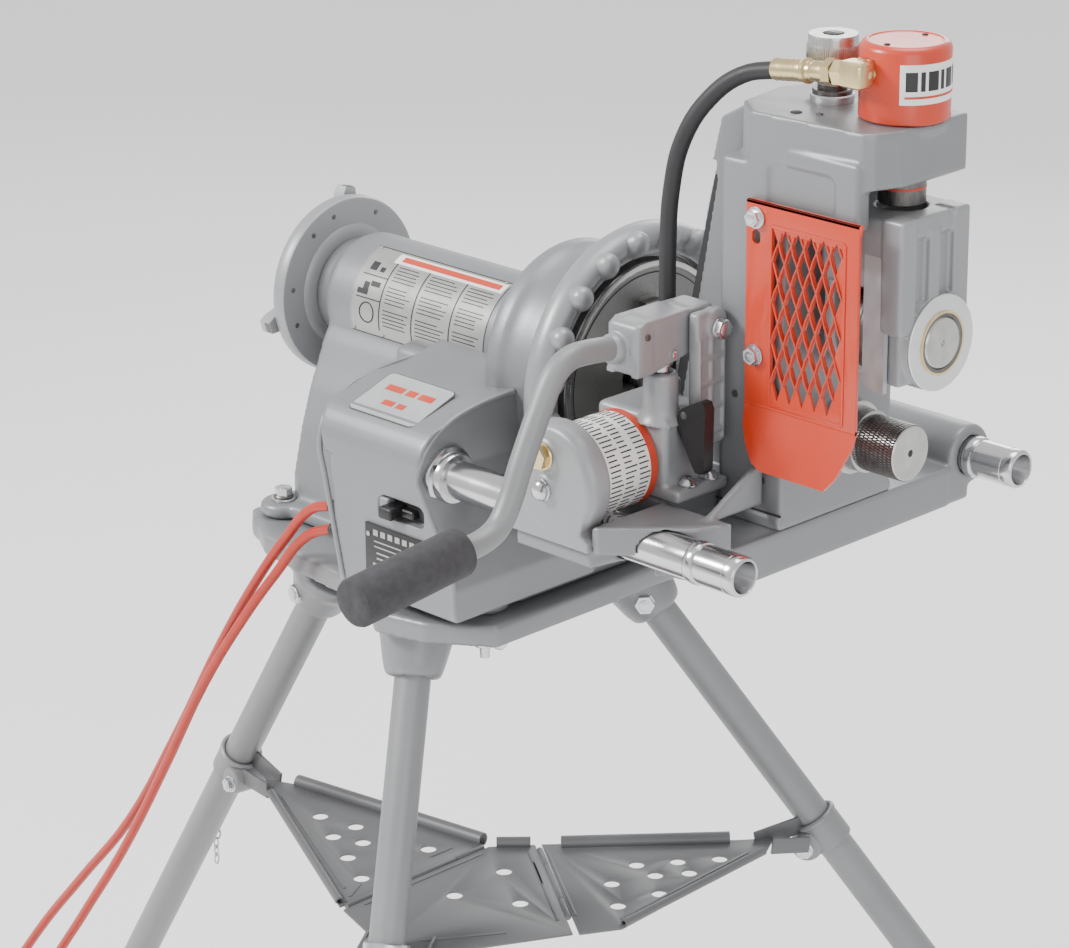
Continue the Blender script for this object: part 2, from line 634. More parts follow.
def collars():
    for name, leg, body in SIDE_LEGS:
        z = -DROP / math.cos(math.radians(leg[2]))
        s = Shape(TUBE, ZINC)
        s.tube((0, 0, z - 15), (0, 0, z + 16), 20.6, 16.8, 1.4)
        s.tube((0, 0, z + 13), (0, 0, z + 19), 21.6, 16.8, 2)
        s.cyl((-20, -19, z), (-20, 19, z), 14.5, 3)
        s.box((-33, -17, z - 9), (-12, 17, z + 9), 4, 3)
        for k in (1, -1):
            s.bolt((-24, 18.5 * k, z), (0, k, 0), 12, 5, 1, washer=8.5)
        s.turned(leg_matrix(*leg))
        s.make("collar_clamp_" + name, body, ("collar_" + name,), slot="cast_paint")
    zl = -300 / math.cos(math.radians(LEFT_LEG[2]))
    s = Shape(ZINC)
    m = leg_matrix(*LEFT_LEG)
    c = m @ Vector((0, -17.5, zl - 60))
    ring = [c + Vector((0, 0, -7)) + Vector((7 * math.cos(t), 0, 7 * math.sin(t)))
            for t in [i * math.pi / 10 for i in range(21)]]
    s.sweep(ring, 1.1, 8)
    for k in range(3):
        mid = c + Vector((0, 0, -19 - 9 * k))
        side = Vector((1, 0, 0)) if k % 2 else Vector((0, 1, 0))
        link = [mid + side * 2.6 * math.cos(t) + Vector((0, 0, 6 * math.sin(t)))
                for t in [i * math.pi / 8 for i in range(17)]]
        s.sweep(link, 0.9, 8)
    s.make("leg_ring_and_chain", "left_leg")


def tray_piece(name, outline, holes, edges, body, node, creases, straps, knuckles):
    """Sheet with round holes, rolled edges (from, to, radius), creases, straps and knuckles."""
    s = Shape(SHEET)
    s.prism(outline, TRAY, TRAY + 2, "z")
    cuts = Shape(SHEET)
    for x, y in holes:
        cuts.cyl((x, y, TRAY - 10), (x, y, TRAY + 10), 7.5, 0, 40)
    carved(name, s, cuts, body, (node,), 0.4)
    t = Shape(SHEET)
    for a, b, r in edges:
        a, b = Vector((a[0], a[1], TRAY + 4)), Vector((b[0], b[1], TRAY + 4))
        d = (b - a).normalized()
        n = Vector((0, 0, 1)).cross(d)
        path = arc_pts(0, 0, r, -90, 210, 14)
        inner = [(x * (r - 1.6) / r, z * (r - 1.6) / r) for x, z in reversed(path)]
        m = Matrix((d, n, Vector((0, 0, 1)))).transposed().to_4x4()
        t.prism(path + inner, 0, (b - a).length, "x", 0, 1, 0, Matrix.Translation(a) @ m)
    for a, b in creases:
        bar(t, (a[0], a[1], TRAY + 2.0), (b[0], b[1], TRAY + 2.0), Z, 1.6, 3.2, 0.7)
    for a, b, w in straps:
        bar(t, a, b, Z, w, 3.0, 1.0)
    for a, b in knuckles:
        t.cyl((a[0], a[1], TRAY + 1), (b[0], b[1], TRAY + 1), 3, 0.5, 24)
    t.make(name + "_edges", body, slot="tube_paint")


def trays():
    lk = [((-450, -252 + a), (-450, -252 + b)) for a, b in ((7, 47), (48, 146), (147, 182))]
    u = Vector((math.cos(math.radians(-34.55)), math.sin(math.radians(-34.55)), 0))
    p = Vector((-416.6, -29.9, 0))
    rk = [(tuple((p + u * a)[:2]), tuple((p + u * b)[:2]))
          for a, b in ((10, 45), (46, 119), (120, 155))]
    tray_piece("tray_left_sheet",
               [(-716, -112), (-686, -100), (-453.5, -66), (-453.5, -250), (-690, -132)],
               [(-612, -132), (-570, -124), (-569, -154), (-539, -143), (-525, -175),
                (-483, -196), (-484, -109)],
               [((-684, -97), (-458, -62), 7), ((-684, -133), (-458, -246), 4)],
               "tray_left_wing", "tray_left",
               [((-672, -128), (-478, -222)), ((-470, -92), (-470, -120)),
                ((-475, -205), (-462, -230))],
               [((-700, -106, TRAY + 1), (-748, -100, TRAY + 12), 20),
                ((-694, -128, TRAY + 1), (-750, -112, TRAY - 6), 16)], [lk[1]])
    tray_piece("tray_middle_sheet",
               [(-446.5, -66), (-418, -32), (-262, -139), (-318, -245), (-372, -275),
                (-446.5, -252)],
               [(-398, -93), (-395, -160), (-340, -129)],
               [((-444, -58), (-421, -35), 6)],
               "tray_middle", "tray_center",
               [((-440, -80), (-440, -232)), ((-410, -48), (-290, -130)),
                ((-392, -60), (-352, -88)), ((-306, -180), (-350, -246))],
               [((-318, -271, TRAY + 1), (-341, -236, TRAY + 1), 12),
                ((-370, -305, TRAY + 1), (-393, -270, TRAY + 1), 12)],
               [lk[0], lk[2], rk[0], rk[2]])
    tray_piece("tray_right_sheet",
               [(-414, -27), (-286, 112), (-266, 138), (-252, 112), (-238, -100),
                (-258, -135)],
               [(-308, -41), (-319, 4), (-296, 36), (-272, 68), (-291, 0), (-272, 26),
                (-262, -25), (-272, -70)],
               [((-400, -15), (-292, 104), 7), ((-250.6, 106), (-240.6, -95), 4)],
               "tray_right_wing", "tray_right",
               [((-262, 96), (-251, -88)), ((-396, -36), (-285, -112))],
               [((-276, 122, TRAY + 1), (-256, 168, TRAY + 10), 18),
                ((-256, 124, TRAY + 1), (-240, 160, TRAY - 4), 16)], [rk[1]])


# ---------------------------------------------------------------- power drive

def drive_housing():
    s = Shape(CAST)
    s.lathe([(-694, 0), (-694, 45), (-690, 49), (-674, 49), (-672, 53), (-667, 58),
             (-404, 58), (-404, 0)], O, X, 96)
    s.lathe([(-410, 0), (-410, 95), (-407, 102), (-401, 105.5), (-390, 105), (-383, 101),
             (-374, 99), (-340, 97), (-333, 93), (-331, 86), (-331, 0)], O, X,
            96)
    side = [(-50, -8), (-55.5, -18.5), (-63, -32), (-72, -54), (-82, -76), (-94, -112),
            (-112, -186)]
    s.prism(side + [(-y, z) for y, z in reversed(side)], -668, -387, "x", 9, 3)
    s.box((-682, -128, -195), (-340, 128, -180), 6, 3)
    s.box((-404, -100, -186), (-350, 100, -60), 14, 4)
    s.box((-480, 60, -96), (-396, 190, -40), 12, 3)
    s.cyl((-480, RAIL_Y, RAIL_Z), (-396, RAIL_Y, RAIL_Z), 29, 5)
    for x, y in LUGS:
        s.cyl((x, y, -195), (x, y, -181), 22.5, 4)
        k = 1 if y > 0 else -1
        s.box((x - 15, y - k * 40 - 12, -195), (x + 15, y - k * 40 + 36, -182), 5)
    cuts = Shape(CAST)
    cuts.cyl((-720, 0, 0), (-300, 0, 0), 36.4, 0, 64)
    cuts.box((-650, -100, -220), (-414, 100, -172))
    for x, y in LUGS:
        cuts.cyl((x, y, -181.2), (x, y, -155), 13.5, 0)
    cast("drive_casting", s, cuts, CAST, nodes=("drive_housing",), voxel=2.2, rounds=6)
    seam = Shape(DARK)
    seam.lathe([(-384.4, 100.2), (-383.4, 101.3), (-382.6, 100.9), (-383.4, 99.8)],
               O, X, 96, 0, True)
    seam.make("cover_seam")


def hood():
    s = Shape(CAST)
    outline = [(-40, -186), (-215, -186), (-215, -66)]
    outline += [(-185 - 30 * math.cos(t), -58 + 38 * math.sin(t))
                for t in [math.radians(a) for a in (12, 24, 36, 48, 60, 70)]]
    outline += [(-150, -9), (-110, -8), (-84, -6), (-66, -2), (-40, 6)]
    s.prism(outline, -512, -326, "x")
    s.box((-560, -74, -120), (-506, -40, -12), 12, 3)
    cuts = Shape(CAST)
    cuts.prism([(-640, 60), (-540, 60), (-530, 6), (-509, -24), (-498, -77), (-473, -186),
                (-473, -230), (-640, -230)], -260, -82, "y")
    cuts.prism([(-372, 60), (-372, -20), (-378, -65), (-361, -95), (-342, -126), (-330, -156),
                (-328, -230), (-200, -230), (-200, 60)], -260, 0, "y")
    cuts.prism([(-530, -218), (-482, -218), (-496, -208), (-520, -196)], -230, -66, "z")
    cuts.box((-427, -240, -108), (-369, -203, -89), 8, 4)
    cast("hood_casting", s, cuts, CAST, nodes=("hood",), voxel=1.7, rounds=7)
    rim = Shape(CAST)
    path = smooth_path([(-509, -96, -8), (-509, -140, -10), (-509, -176, -18),
                        (-508, -203, -36), (-505, -213.5, -62), (-498, -215, -86),
                        (-486, -215, -138), (-476, -215, -182)], 5)
    rim.sweep(path, 2.6, 12)
    path = smooth_path([(-373, -100, -8), (-373, -140, -10), (-374, -176, -18),
                        (-375, -203, -36), (-378, -213.5, -62), (-372, -215, -76),
                        (-361, -215, -95), (-343, -215, -126), (-333, -215, -150),
                        (-332, -215, -182)], 5)
    rim.sweep(path, 2.6, 12)
    rim.make("hood_rims", slot="cast_paint")
    slot = Shape(HOLLOW, CAST)
    slot.box((-430, -206, -111), (-366, -204.5, -86), 0.3, 1, 0)
    slot.box((-426, -216, -107), (-414, -206, -90), 3, 3, 1)
    slot.make("switch_recess")
    lever = Shape(PLASTIC)
    lever.box((-416, -227, -105), (-399, -200, -94), 3, 3)
    lever.box((-413, -214, -104), (-384, -203, -96), 3, 3)
    lever.make("switch_paddle", "switch", ("switch_lever",), slot="plastic")


def rows_of_bars(place, cols, first, last, step, gap=6, seed=3):
    """Broken short lines in place of print; place(x0, x1, a) adds one line."""
    r = random.Random(seed)
    for x0, x1 in cols:
        a = first
        k = 0
        while a < last:
            k += 1
            if k % gap:
                place(x0 + 3, x0 + 3 + (x1 - x0 - 6) * (0.72 + 0.28 * r.random()), a)
            a += step


def plates():
    s = Shape(SILVER, ORANGE, INK, WHITE)
    r = 58.25
    band(s, -633, -455, r, r + 0.35, 108, 197, 0)
    band(s, -600, -457, r + 0.2, r + 0.5, 111, 123, 3)
    band(s, -592, -462, r + 0.3, r + 0.62, 113.5, 120, 1)
    for x in (-633, -455):
        band(s, x - 0.5, x + 0.5, r, r + 0.6, 108, 197, 0)
    for a in (108, 197):
        band(s, -633, -455, r, r + 0.6, a - 0.5, a + 0.5, 2)
    for x in (-594, -550, -500):
        band(s, x - 0.6, x + 0.6, r + 0.2, r + 0.62, 123, 190, 2)
    for a in (141, 163):
        band(s, -627, -594, r + 0.2, r + 0.62, a - 0.5, a + 0.5, 2)

    def line(x0, x1, a):
        band(s, x0, x1, r + 0.2, r + 0.5, a, a + 0.9, 2, seg=1)

    rows_of_bars(line, [(-592, -552), (-548, -502), (-498, -458)], 126, 190, 3.6)
    for x, a, w, h in ((-618, 127, 9, 9), (-606, 131, 6, 5), (-617, 148, 7, 10),
                       (-606, 146, 12, 5), (-620, 155, 14, 5)):
        band(s, x - w / 2, x + w / 2, r + 0.2, r + 0.6, a, a + h, 2)
    c = math.radians(176)
    ring = []
    for i in range(25):
        t = 2 * math.pi * i / 24
        a = c + 9.5 * math.sin(t) / r
        ring.append((-611 + 9.5 * math.cos(t), (r + 0.4) * math.cos(a), (r + 0.4) * math.sin(a)))
    s.sweep(ring, 0.7, 6, 2)
    for x, a in ((-629, 110), (-629, 194), (-590, 194.5), (-515, 194.5), (-462, 110)):
        q = math.radians(a)
        s.ball((x, (r + 0.4) * math.cos(q), (r + 0.4) * math.sin(q)), 1.6, 0)
    s.make("drive_label", nodes=("face_plates",), slot="black_plate")
    b = Shape(BADGE, DARK, RED_INK)
    top, low = Vector((0, -142, -8.2)), Vector((0, -200, -28.0))
    d = (low - top).normalized()
    n = Vector((0, d.z, -d.y))
    if n.z < 0:
        n = -n
    m = Matrix((Vector((1, 0, 0)), d, n)).transposed().to_4x4()
    m = Matrix.Translation(top + n * 3.4) @ m
    for inset, low_z, top_z, mat in ((0, -1.2, 0, 1), (1.2, -0.8, 0.3, 0)):
        x0, x1, y0, y1 = -484 + inset, -398 - inset, inset, 60 - inset
        r = 7 - inset
        pts = (arc_pts(x1 - r, y1 - r, r, 0, 90, 6) + arc_pts(x0 + r, y1 - r, r, 90, 180, 6)
               + arc_pts(x0 + r, y0 + r, r, 180, 270, 6) + arc_pts(x1 - r, y0 + r, r, 270, 360, 6))
        b.prism(pts, low_z, top_z, "z", 0, 1, mat, m)
    for x, w in ((-470, 22), (-444, 12), (-428, 18)):
        b.box((x, 16, 0.2), (x + w, 24, 0.6), 1, 2, 2, m)
    for x, w in ((-456, 14), (-438, 10)):
        b.box((x, 36, 0.2), (x + w, 43, 0.6), 1, 2, 2, m)
    b.make("slope_badge", slot="label")
    p = Shape(INK, SILVER)
    p.box((-443, -217.4, -166), (-364, -215.0, -118), 0.5, 2, 0)
    for k in range(7):
        p.box((-432 + k * 9.4, -217.75, -128), (-426 + k * 9.4, -217.3, -122.5), 0, 1, 1)
    for x0, x1, z, h in ((-431, -396, -134, 1.2), (-431, -402, -139, 1.2),
                         (-428, -407, -145, 1.6), (-428, -404, -150, 1.6),
                         (-433, -372, -162, 8)):
        p.box((x0, -217.75, z), (x1, -217.3, z + h), 0, 1, 1)
    p.cyl((-438.5, -217.2, -128), (-438.5, -218.2, -128), 2.4, 0.3, 20, 1)
    p.make("rating_plate", slot="black_plate")


def chuck():
    s = Shape(CAST_LIGHT)
    s.lathe([(-326, 111), (-326, 130), (-324.5, 135), (-320, 137.6), (-312, 137.8),
             (-305, 135.5), (-300.5, 131), (-299, 126), (-300.5, 121.5), (-304.5, 117),
             (-307, 113), (-307, 110.6), (-316, 110.6), (-316, 111)], O, X, 120,
            0, True)
    for i in range(20):
        a = math.radians(i * 18 + 8)
        d = Vector((0, -math.sin(a), math.cos(a)))
        s.sweep([Vector((-306, 0, 0)) + d * 124, Vector((-300, 0, 0)) + d * 126,
                 Vector((-296, 0, 0)) + d * 128.5, Vector((-292.5, 0, 0)) + d * 129.5,
                 Vector((-290.2, 0, 0)) + d * 129.8, Vector((-289.2, 0, 0)) + d * 130],
                [12.5, 11.4, 10.4, 8.6, 5.4, 1.2], 20)
    s.make("chuck_handwheel", "chuck_wheel", ("handwheel",), 60, "cast_paint")
    b = Shape(FACE, STEEL, HOLLOW, DARK)
    b.lathe([(-329, 31.5), (-329, 96), (-326, 97), (-326, 109.6), (-318, 109.6),
             (-317.5, 104.6), (-305, 104.6), (-303.6, 103.6), (-303.4, 99), (-304.2, 97.6),
             (-304.2, 31.5)], O, X, 120, 0, True)
    b.lathe([(-304.0, 98.6), (-304.0, 104.2), (-302.9, 104.0), (-302.6, 103), (-302.6, 99.6),
             (-302.9, 98.8)], O, X, 120, 1, True)
    b.lathe([(-304.1, 93), (-303.9, 94), (-304.4, 94), (-304.4, 93)], O, X, 96, 2, True)
    for a in (0, 120, 240):
        m = Matrix.Rotation(math.radians(a), 4, "X")
        b.box((-305, -11, 30), (-304.0, 11, 74), 1, 2, 3, m)
    for a in (60, 180, 300):
        m = Matrix.Rotation(math.radians(a), 4, "X")
        b.bolt(m @ Vector((-304.0, 0, 86)), X, 9, 3.5, 2)
    b.make("chuck_face", "spindle_set", ("chuck_body",), slot="dark_steel")
    for i, a in enumerate((0, 120, 240)):
        m = Matrix.Rotation(math.radians(a), 4, "X")
        j = Shape(DARK, STEEL)
        j.prism([(-10.6, 24), (0, 22.6), (10.6, 24), (10.6, 70), (-10.6, 70)], -316.5, -296,
                "x", 1.0, 2, 0, m)
        for k in range(6):
            z = 24 + k * 1.6
            j.box((-296.2, -9.5, z), (-295.6, 9.5, z + 0.8), 0.2, 1, 1, m)
        j.make(f"chuck_jaw_block_{i + 1}", "jaw_" + "abc"[i], (f"chuck_jaw_{i + 1}",),
               slot="dark_steel")


def rear_end():
    s = Shape(CAST_LIGHT, DARK)
    s.lathe([(-713, 37), (-713, 83), (-711.5, 85.8), (-708, 86.6), (-701, 86.4), (-698, 85),
             (-697, 82), (-697, 60), (-694.6, 57.5), (-693.6, 53), (-694, 37)], (0, 0, 0),
            (1, 0, 0), 96, 0, True)
    for a in (105, 128, 172, 200, 260, 320, 20, 62):
        q = math.radians(a)
        s.cyl((-697.4, 74 * math.cos(q), 74 * math.sin(q)),
              (-696.4, 74 * math.cos(q), 74 * math.sin(q)), 2.4, 0.4, 16, 1)
    s.make("centring_wheel", "rear_scroll", ("rear_wheel",), slot="cast_paint")
    for i, a in enumerate((-12, 108, 228)):
        m = Matrix.Rotation(math.radians(a), 4, "X")
        j = Shape(CAST, DARK)
        j.prism([(-8, 38), (8, 38), (8.4, 84), (6, 92), (-6, 92), (-8.4, 84)], -728.2, -714.8,
                "x", 2.2, 3, 0, m)
        j.box((-722, -5, 90.6), (-716, 5, 92.8), 0.8, 2, 1, m)
        j.make(f"rear_jaw_block_{i + 1}", "rear_jaw_" + "abc"[i], (f"rear_jaw_{i + 1}",),
               slot="cast_paint")
    t = Shape(STEEL)
    t.lathe([(-738, 31), (-738, 56.5), (-736.5, 58), (-730.5, 58), (-729, 56.5), (-729, 36),
             (-322, 36), (-320, 35), (-320, 31.2), (-321, 31)], O, X, 96, 0,
            True)
    t.make("spindle_tube", "spindle_set", ("spindle",), slot="steel")


def rails():
    for name, y in (("near", -RAIL_Y), ("far", RAIL_Y)):
        s = Shape(CHROME, HOLLOW)
        s.lathe([(-500, 13.6), (-500, 17.3), (-77, 17.3), (-75.5, 18.4), (-74, 18.8),
                 (-68, 18.8), (-66.6, 18.2), (-66, 16.9), (-62.5, 16.9), (-61.8, 17.5),
                 (-34, 17.5), (-33.4, 17.1), (-32.4, 17.1), (-31.8, 17.5), (-25, 17.5),
                 (-22.6, 16.2), (-22, 15.2), (-22, 14.0), (-23, 13.5)], (0, y, RAIL_Z),
                (1, 0, 0), 72, 0, True)
        s.lathe([(-380, 17.3), (-380, 25), (-378.5, 27.2), (-372, 27.6), (-370, 26.8),
                 (-369.2, 24.6), (-368.6, 23.4), (-363, 23.0), (-361.4, 22), (-361, 17.3)],
                (0, y, RAIL_Z), X, 72, 0, True)
        s.cyl((-60, y, RAIL_Z), (-58, y, RAIL_Z), 13.7, 0, 40, 1)
        s.make("rail_" + name + "_bar", nodes=("rail_" + name,), slot="chrome")
        g = Shape(HOLLOW)
        g.box((-369.4, y - 21, RAIL_Z + 8), (-368.2, y - 17.6, RAIL_Z + 16), 0.4)
        g.make("rail_" + name + "_key_slot")


# ---------------------------------------------------------------- roll groover

def groover():
    s = Shape(CAST)
    s.prism([(-284, -130), (-247, -221), (-160, -221), (-144, -150), (-78, -135), (-78, 150),
             (-90, 160), (-210, 160), (-284, 60)], -108, -71, "z", 3, 3)
    s.prism([(-158, -222), (-150, -222), (-125, -198), (-92, -165), (-78, -135), (-158, -135)],
            -71, -47.6, "z", 1.5)
    bar(s, (-152, -220, -48.6), (-82, -142, -48.6), Z, 4, 5, 1)
    s.prism([(-150, -50), (-76, -50), (-76, -14), (-84, -14)], -104, -96, "x", 2)
    s.cyl((-204.5, RAIL_Y, RAIL_Z), (-78.5, RAIL_Y, RAIL_Z), 28, 4)
    s.box((-204, 130, -108), (-79, RAIL_Y, -71), 3)
    s.box((-239.5, -137.5, -74), (-152.5, -61, -45.5), 3, 3)
    cuts = Shape(CAST)
    for y in (-RAIL_Y, RAIL_Y):
        cuts.cyl((-300, y, RAIL_Z), (-60, y, RAIL_Z), 17.8, 0, 64)
    cuts.prism([(-300, -240), (-120, -240), (-150, -146), (-292, -128)], -120, -85.5, "z")
    cast("groover_base_casting", s, cuts, CAST, nodes=("groover_base",), voxel=1.8, rounds=6)

    f = Shape(CAST)
    f.box((-152, -73.5, -72), (-78.5, 70, 245), 5, 3)
    f.prism([(-158, 8), (-148, -50), (-120, -73), (-3, -67.5), (4, -60), (13, -36), (14, 0),
             (13, 46), (-8, 53), (-138, 53)], 239, 287.5, "z", 4, 3)
    f.prism([(-283, -70), (-248, -14), (-230, 93), (-213, 179), (-192, 262), (-155, 283),
             (-120, 283), (-120, -70)], -29, 29, "y", 4, 3)
    f.prism([(-283, -70), (-252, -14), (-238, 60), (-150, 60), (-150, -70)], -29, 29, "y", 4, 3)
    f.box((-283, -60, -70), (-150, 60, -51), 4, 3)
    f.box((-82, -72.8, 205), (-3.4, -55.2, 262), 3.5, 3)
    f.cyl((-88, 0, 0), (-70.5, 0, 0), 34, 3)
    f.cyl((RAM_X, 0, 280), (RAM_X, 0, 288), 36, 3)
    f.cyl((-90, -5, 280), (-90, -5, 289.5), 19, 2)
    f.box((-152, -76, -72), (-78.5, 72, -60), 4, 3)
    cuts = Shape(CAST)
    cuts.cyl((-300, 0, 0), (-55, 0, 0), 22.6, 0, 64)
    cuts.cyl((RAM_X, 0, 225), (RAM_X, 0, 300), 20.6, 0, 64)
    cuts.prism([(-100, 160), (-27, 160), (-27, 243), (-33, 248), (-94, 248), (-100, 243)],
               -90, -70.2, "y")
    cuts.prism([(-262, -20), (-238, -14), (-196, 205), (-198, 226), (-206, 214)], -60, -22,
               "y")
    cast("groover_frame_casting", f, cuts, CAST, nodes=("groover_frame",), voxel=1.8, rounds=6)
    d = Shape(HOLLOW, DARK)
    d.prism([(-252, -8), (-238, -4), (-198, 205), (-203, 208)], -23.4, -22.2, "y")
    d.cyl((-89, -51, 286.5), (-89, -51, 288.2), 5, 0.4, 24, 0)
    d.cyl((-70, -44, 286.5), (-70, -44, 288.6), 3.2, 0.4, 24, 1)
    d.box((-152.4, -74.6, -58.4), (-78.2, -73.4, -56.8), 0.2, 1, 0)
    for x, z in ((-132, 40), (-100, -30)):
        d.cyl((x, -74.4, z), (x, -72.6, z), 3.4, 0.4, 24, 1)
    d.make("groover_screws")

    r = Shape(CAST_LIGHT)
    r.box((-61.5, -49, 152), (9.5, 39, 213.5), 3)
    r.box((6, -43.5, 72), (21, 35.5, 212), 3)
    for a, b, top in ((-51, -31, 215.5), (-15, -1, 205), (16, 36, 215.5)):
        r.box((4, a, 118), (27.6, b, top), 3.4, 3)
    r.box((4, -44, 196), (24.5, 36, 214), 4, 3)
    r.cyl((2, 0, SLIDE_Z), (27, 0, SLIDE_Z), 41.3, 2.5, 72)
    r.cyl((-62, 0, SLIDE_Z), (-50, 0, SLIDE_Z), 43.5, 2, 64)
    r.box((-61.5, -44, 104), (-50.5, 40, 160), 2)
    r.box((-17, -49.6, 178), (8, -42, 213.5), 2)
    cuts = Shape(CAST_LIGHT)
    cuts.cyl((-48.5, 0, SLIDE_Z), (2.5, 0, SLIDE_Z), 45, 0, 64)
    cuts.box((-48.5, -60, 20), (1.9, 60, SLIDE_Z))
    cuts.cyl((-70, 0, SLIDE_Z), (40, 0, SLIDE_Z), 22.4, 0, 64)
    cuts.cyl((RAM_X, 0, 205), (RAM_X, 0, 230), 21, 0, 48)
    cast("ram_carriage", r, cuts, CAST_LIGHT, "ram", ("slide",), 1.25, 5)
    c = Shape(CAST_LIGHT)
    c.prism([(-13.5, 74), (-10, 68), (-2, 66.4), (9.5, 66.4), (9.5, 182), (-13.5, 182)], -49.8,
            -45.2, "y", 1.6, 3)
    c.make("carriage_cheek", "ram", slot="cast_paint")
    b = Shape(ALU, BRASS, STEEL, DARK, HOLLOW)
    b.lathe([(24, 27.4), (24, 40), (28.4, 41.3), (29.3, 40.6), (29.5, 27.4)],
            (0, 0, SLIDE_Z), X, 96, 0, True)
    b.lathe([(26, 22.2), (26, 27.2), (29.8, 27.2), (30.4, 26.4), (30.4, 22.8), (29.8, 22.2)],
            (0, 0, SLIDE_Z), X, 72, 3, True)
    b.lathe([(29.4, 25.2), (29.4, 27.6), (30.7, 27.4), (30.7, 25.4)], (0, 0, SLIDE_Z),
            (1, 0, 0), 72, 1, True)
    b.lathe([(-66, 0), (-66, 20.6), (-64.6, 22), (29.6, 22), (31, 20.8), (31, 2.6),
             (29.6, 2.0), (29.0, 0)], (0, 0, SLIDE_Z), X, 72, 2)
    b.cyl((20, -7, 200), (25.6, -7, 200), 3.2, 0.5, 24, 3)
    b.box((22, -50, 186), (25, -45, 193), 1, 2, 4)
    b.make("ram_shaft_and_bush", "ram", ("roll_shaft",), slot="steel")
    p = Shape(DARK, RED_INK)
    p.lathe([(216, 0), (216, 19.2), (217, 20), (288, 20), (288, 29.6), (342, 29.6), (342, 0)],
            (RAM_X, 0, 0), Z, 64)
    p.lathe([(229, 20), (229, 20.2), (231.2, 20.2), (231.2, 20)], (RAM_X, 0, 0), Z, 64,
            1, True)
    p.make("ram_rod", "ram", ("ram_piston",), slot="dark_steel")

    g = Shape(DARK)
    g.lathe([(-46, 22.2), (-46, 34.6), (-44.6, 36), (-31.4, 36), (-30, 38), (-29, 39.6),
             (-27, 40.0), (-24, 40.0), (-22.6, 39.6), (-21.6, 38), (-20.8, 36), (-1.4, 36),
             (0, 34.6), (0, 22.2)], (0, 0, SLIDE_Z), X, 96, 0, True)
    g.make("groove_wheel", "upper_roll", ("groove_roll",), slot="dark_steel")
    k = Shape(STEEL, DARK, HOLLOW)
    k.lathe([(-330, 0), (-330, 20.5), (-328, 22), (-68, 22), (-68, 31), (-67, 32), (-59, 32),
             (-58, 31), (-58, 28), (-48, 27), (-43, 27), (-42, 24), (-42, 23.8), (-0.8, 23.8),
             (0, 22.8), (0, 3.2), (-2, 2), (-2, 0)], O, X, 96, 0)
    for i in range(64):
        a = 2 * math.pi * i / 64
        for sgn in (-1, 1):
            path = [Vector((-41.2 + 40 * t, 24.1 * math.cos(a + sgn * 0.42 * t),
                            24.1 * math.sin(a + sgn * 0.42 * t)))
                    for t in [q / 8 for q in range(9)]]
            k.sweep(path, 0.55, 4, 1)
    k.cyl((-0.4, 0, 0), (0.15, 0, 0), 2.6, 0.1, 32, 2)
    k.make("knurled_drive_roll", "lower_roll", ("drive_roll",), slot="dark_steel")


